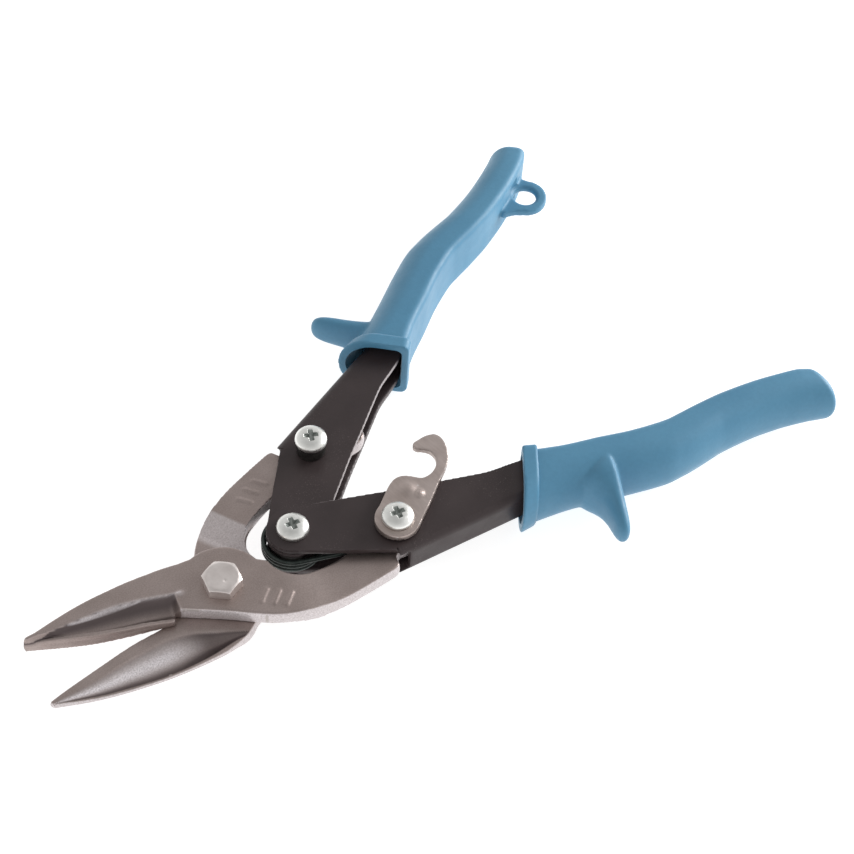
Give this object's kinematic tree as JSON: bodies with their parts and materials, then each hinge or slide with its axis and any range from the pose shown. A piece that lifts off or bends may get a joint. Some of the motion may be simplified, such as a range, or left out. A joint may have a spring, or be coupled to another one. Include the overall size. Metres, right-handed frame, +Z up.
{
  "type": "aviation snips",
  "caption": "Compound-leverage sheet-metal snips with offset forged jaws, stamped channel handles, sleeve grips with finger guards, a swinging latch hook and a hanging loop.",
  "frame": {"origin": "on the blade pivot axis, at the resting plane that the pivot bolt's end and the grip collars touch", "axes": "+X from the jaws to the grips along the centre line, +Y to the left handle, +Z up, away from the resting plane"},
  "size_m": [0.238, 0.1418, 0.023],
  "materials": {
    "blade_steel": "forged and ground, satin",
    "bolt_steel": "cold-headed, satin",
    "black_steel": "black oxide, semi-gloss",
    "grip_vinyl": "soft moulded vinyl, satin",
    "zinc_screw": "bright zinc plate",
    "bush_steel": "dark oiled",
    "spring_wire": "oiled music wire",
    "latch_steel": "stamped, satin"
  },
  "bodies": {
    "upper_jaw": {"top_blade": "blade_steel", "pivot_bolt": "bolt_steel", "pivot_washer": "bolt_steel", "pivot_nut": "bolt_steel"},
    "lower_jaw": {"bottom_blade": "blade_steel"},
    "right_arm": {"right_handle": "black_steel", "right_grip": "grip_vinyl", "handle_pivot_screw": "zinc_screw", "handle_pivot_nut": "zinc_screw", "spring_bush": "bush_steel", "return_spring": "spring_wire", "right_tang_screw": "zinc_screw", "right_tang_nut": "zinc_screw", "latch_washer": "latch_steel"},
    "left_arm": {"left_handle": "black_steel", "left_grip": "grip_vinyl", "left_tang_screw": "zinc_screw", "left_tang_spacer": "bush_steel", "left_tang_nut": "zinc_screw"},
    "latch": {"latch_hook": "latch_steel"}
  },
  "joints": [
    {"name": "jaw_pivot", "type": "hinge", "parent": "upper_jaw", "child": "lower_jaw", "pos_m": [0, 0, 0], "axis": [0, 0, 1], "range_deg": [-19.1, 0], "stiffness_Nm_per_rad": 0.6, "springref_deg": 20.05, "deforming": ["return_spring"]},
    {"name": "right_tang_pivot", "type": "hinge", "parent": "upper_jaw", "child": "right_arm", "pos_m": [0.04875, -0.01809, 0], "axis": [0, 0, 1], "range_deg": [0, 9.22]},
    {"name": "left_tang_pivot", "type": "hinge", "parent": "lower_jaw", "child": "left_arm", "pos_m": [0.04875, 0.01809, 0], "axis": [0, 0, 1], "range_deg": [-9.22, 0]},
    {"name": "latch_swing", "type": "hinge", "parent": "right_arm", "child": "latch", "pos_m": [0.04875, -0.01809, 0], "axis": [0, 0, 1], "range_deg": [0, 44]}
  ],
  "couplings": [
    {"joint": "right_tang_pivot", "follows": "jaw_pivot", "ratio": -0.48},
    {"joint": "left_tang_pivot", "follows": "jaw_pivot", "ratio": 0.48}
  ]
}
